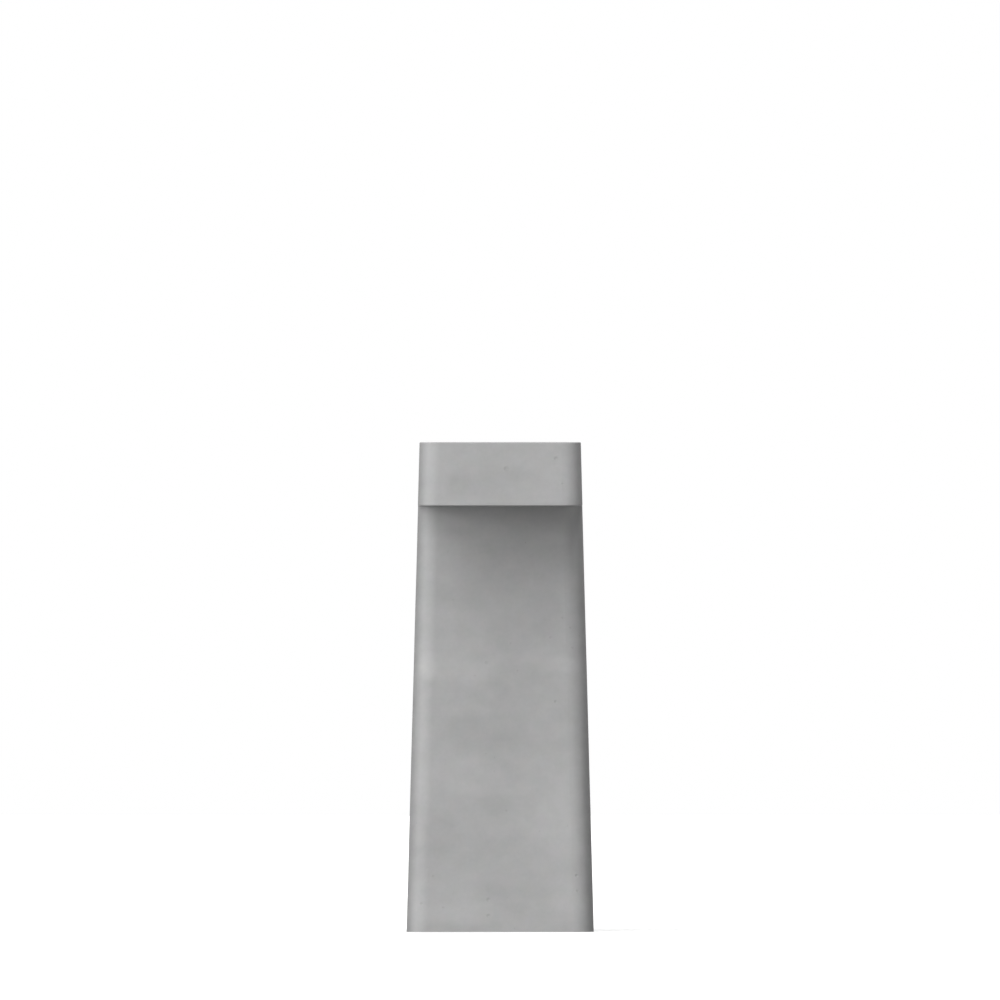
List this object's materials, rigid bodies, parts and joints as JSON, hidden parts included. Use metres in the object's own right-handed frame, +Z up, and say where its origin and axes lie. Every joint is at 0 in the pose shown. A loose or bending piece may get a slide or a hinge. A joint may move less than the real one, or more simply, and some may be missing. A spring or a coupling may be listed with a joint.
{
  "type": "concrete bollard",
  "caption": "Cast concrete street bollard: a tapered post with rounded corners, whose square head stands out like a visor over a shaft with a set-back front.",
  "frame": {"origin": "on the ground, under the middle of the whole outline", "axes": "+Z up the post, -Y to the front, where the head overhangs, +X to the right seen from the front"},
  "size_m": [0.306, 0.2872, 0.8],
  "materials": {
    "concrete": "matte"
  },
  "bodies": {
    "root": {"concrete_bollard": "concrete"}
  },
  "joints": []
}
